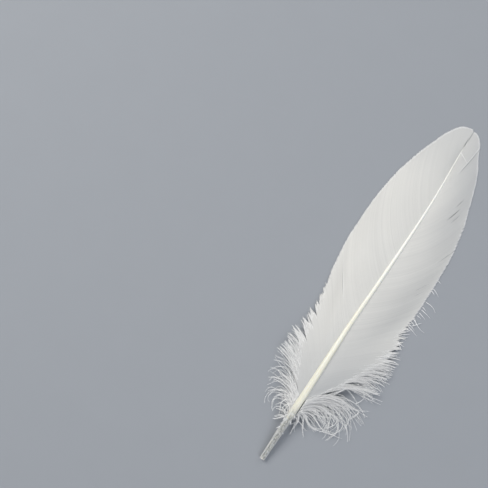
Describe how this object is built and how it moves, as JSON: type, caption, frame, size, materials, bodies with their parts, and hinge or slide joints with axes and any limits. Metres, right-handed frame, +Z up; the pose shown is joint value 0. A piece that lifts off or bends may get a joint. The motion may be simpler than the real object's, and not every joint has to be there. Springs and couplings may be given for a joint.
{
  "type": "goose quill feather",
  "caption": "White goose wing feather with a hollow cut quill, two webbed vanes and loose down at the base, lying back side up.",
  "frame": {"origin": "under the middle of the feather's box, on the surface that it rests on", "axes": "+Y runs from the cut end of the quill to the tip, +Z is up through the back of the feather, +X points over the right vane"},
  "size_m": [0.0544, 0.18, 0.0088],
  "materials": {
    "shaft_keratin": "satin cream horn, translucent at the quill",
    "dried_pulp": "dry white membrane",
    "vane_web": "soft silky white web of barbs",
    "down": "loose fluffy white fibres"
  },
  "bodies": {
    "root": {"quill_shaft": "shaft_keratin", "quill_pulp": "dried_pulp", "left_vane": "vane_web", "right_vane": "vane_web", "left_down": "down", "right_down": "down"}
  },
  "joints": []
}
